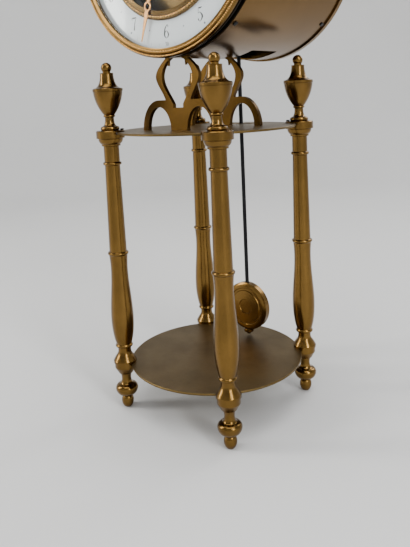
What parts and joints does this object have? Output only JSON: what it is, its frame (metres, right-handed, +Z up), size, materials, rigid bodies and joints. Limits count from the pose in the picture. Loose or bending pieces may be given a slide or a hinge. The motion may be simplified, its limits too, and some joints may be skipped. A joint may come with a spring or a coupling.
{
  "type": "portico clock",
  "caption": "Four-column mantel clock with two round plates, urn finials, a drum case on sawn brackets and a long pendulum hanging through the upper plate.",
  "frame": {"origin": "on the floor, midway between the four feet", "axes": "+X to the right seen from the dial, +Y to the back, +Z up"},
  "size_m": [0.1478, 0.143, 0.38],
  "materials": {
    "gilt_brass": "aged gilt brass, satin polished",
    "plate_brass": "dull, finely brushed brass",
    "bracket_brass": "reddish brown, lightly oxidised brass",
    "drum_brass": "satin polished brass",
    "dark_brass": "blackened brass",
    "movement_brass": "lacquered brass",
    "hand_gilt": "coppery gilt",
    "steel": "polished steel",
    "black_steel": "blued and blackened steel",
    "enamel": "glossy white enamel",
    "glass": "clear"
  },
  "bodies": {
    "frame": {"front_left_foot": "gilt_brass", "front_left_column": "gilt_brass", "front_left_finial": "gilt_brass", "front_right_foot": "gilt_brass", "front_right_column": "gilt_brass", "front_right_finial": "gilt_brass", "rear_right_foot": "gilt_brass", "rear_right_column": "gilt_brass", "rear_right_finial": "gilt_brass", "rear_left_foot": "gilt_brass", "rear_left_column": "gilt_brass", "rear_left_finial": "gilt_brass", "base_plate": "plate_brass", "top_plate": "plate_brass", "capital_screws": "black_steel", "base_screws": "black_steel", "front_bracket": "bracket_brass", "rear_bracket": "bracket_brass", "bracket_screws": "black_steel", "drum_screws": "bracket_brass", "drum_case": "drum_brass", "ring_screws": "black_steel", "front_ring": "dark_brass", "dial": "enamel", "dial_inner_ring": "gilt_brass", "bezel_hinge_pin": "steel", "rear_rim": "gilt_brass", "cover_hinge_pin": "steel", "movement_front_plate": "movement_brass", "movement_back_plate": "movement_brass", "movement_pillars": "movement_brass", "pillar_nuts": "steel", "movement_screws": "black_steel", "suspension_cock": "movement_brass", "suspension_block": "movement_brass"},
    "bezel_door": {"bezel": "gilt_brass", "glass": "glass", "glass_ring": "gilt_brass"},
    "back_door": {"back_cover": "drum_brass"},
    "back_latch": {"cover_latch": "gilt_brass"},
    "minute_work": {"centre_wheel": "movement_brass", "cannon_pinion": "steel", "minute_hand": "hand_gilt"},
    "hour_work": {"hour_wheel": "movement_brass", "hour_hand": "hand_gilt"},
    "minute_wheel_body": {"minute_wheel": "movement_brass"},
    "third": {"third_wheel": "movement_brass"},
    "escape": {"escape_wheel": "movement_brass"},
    "second": {"second_wheel": "movement_brass"},
    "barrel": {"going_barrel": "movement_brass"},
    "winding": {"barrel_arbor": "steel", "ratchet_wheel": "steel"},
    "click_body": {"click": "steel"},
    "pallets_body": {"pallets": "steel"},
    "pendulum": {"pendulum_rod": "black_steel", "suspension_spring": "steel"},
    "bob": {"pendulum_bob": "gilt_brass"},
    "nut": {"rating_nut": "gilt_brass"}
  },
  "joints": [
    {"name": "bezel_hinge", "type": "hinge", "parent": "frame", "child": "bezel_door", "pos_m": [-0.073, -0.0352, 0.308], "axis": [0, 0, 1], "range_deg": [-110, 0]},
    {"name": "back_hinge", "type": "hinge", "parent": "frame", "child": "back_door", "pos_m": [-0.069, 0.0779, 0.308], "axis": [0, 0, 1], "range_deg": [0, 110]},
    {"name": "latch_turn", "type": "hinge", "parent": "back_door", "child": "back_latch", "pos_m": [0.0565, 0.0766, 0.308], "axis": [0, 1, 0], "range_deg": [0, 90]},
    {"name": "minute_turn", "type": "hinge", "parent": "frame", "child": "minute_work", "pos_m": [0, 0, 0.308], "axis": [0, 1, 0], "continuous": true},
    {"name": "hour_turn", "type": "hinge", "parent": "frame", "child": "hour_work", "pos_m": [0, -0.0315, 0.308], "axis": [0, 1, 0], "continuous": true},
    {"name": "minute_wheel_turn", "type": "hinge", "parent": "frame", "child": "minute_wheel_body", "pos_m": [0.00607, -0.0245, 0.31852], "axis": [0, 1, 0], "continuous": true},
    {"name": "third_turn", "type": "hinge", "parent": "frame", "child": "third", "pos_m": [-0.01663, 0, 0.32375], "axis": [0, 1, 0], "continuous": true},
    {"name": "escape_turn", "type": "hinge", "parent": "frame", "child": "escape", "pos_m": [0, 0, 0.33374], "axis": [0, 1, 0], "continuous": true},
    {"name": "second_turn", "type": "hinge", "parent": "frame", "child": "second", "pos_m": [0.02192, 0, 0.29673], "axis": [0, 1, 0], "continuous": true},
    {"name": "barrel_turn", "type": "hinge", "parent": "frame", "child": "barrel", "pos_m": [0, -0.0065, 0.284], "axis": [0, 1, 0], "continuous": true},
    {"name": "winding_turn", "type": "hinge", "parent": "frame", "child": "winding", "pos_m": [0, -0.0115, 0.284], "axis": [0, 1, 0], "continuous": true},
    {"name": "click_lift", "type": "hinge", "parent": "frame", "child": "click_body", "pos_m": [0.01039, -0.0215, 0.278], "axis": [0, 1, 0], "range_deg": [0, 12]},
    {"name": "pendulum_swing", "type": "hinge", "parent": "frame", "child": "pendulum", "pos_m": [0, 0.04, 0.348], "axis": [0, 1, 0], "range_deg": [-4, 4]},
    {"name": "pallet_swing", "type": "hinge", "parent": "frame", "child": "pallets_body", "pos_m": [0, 0, 0.348], "axis": [0, 1, 0], "range_deg": [-4, 4]},
    {"name": "bob_height", "type": "slide", "parent": "pendulum", "child": "bob", "axis": [0, 0, 1], "range_m": [-0.001, 0.001]},
    {"name": "nut_turn", "type": "hinge", "parent": "bob", "child": "nut", "pos_m": [0, 0.04, 0.0367], "axis": [0, 0, 1], "range_deg": [-720, 720]}
  ],
  "couplings": [
    {"joint": "hour_turn", "follows": "minute_turn", "ratio": 0.083333},
    {"joint": "minute_wheel_turn", "follows": "minute_turn", "ratio": -0.33333},
    {"joint": "third_turn", "follows": "minute_turn", "ratio": -12},
    {"joint": "escape_turn", "follows": "minute_turn", "ratio": 120},
    {"joint": "second_turn", "follows": "minute_turn", "ratio": -0.16667},
    {"joint": "barrel_turn", "follows": "minute_turn", "ratio": 0.027778},
    {"joint": "pallet_swing", "follows": "pendulum_swing", "ratio": 1},
    {"joint": "nut_turn", "follows": "bob_height", "rad_per_m": 12566}
  ]
}
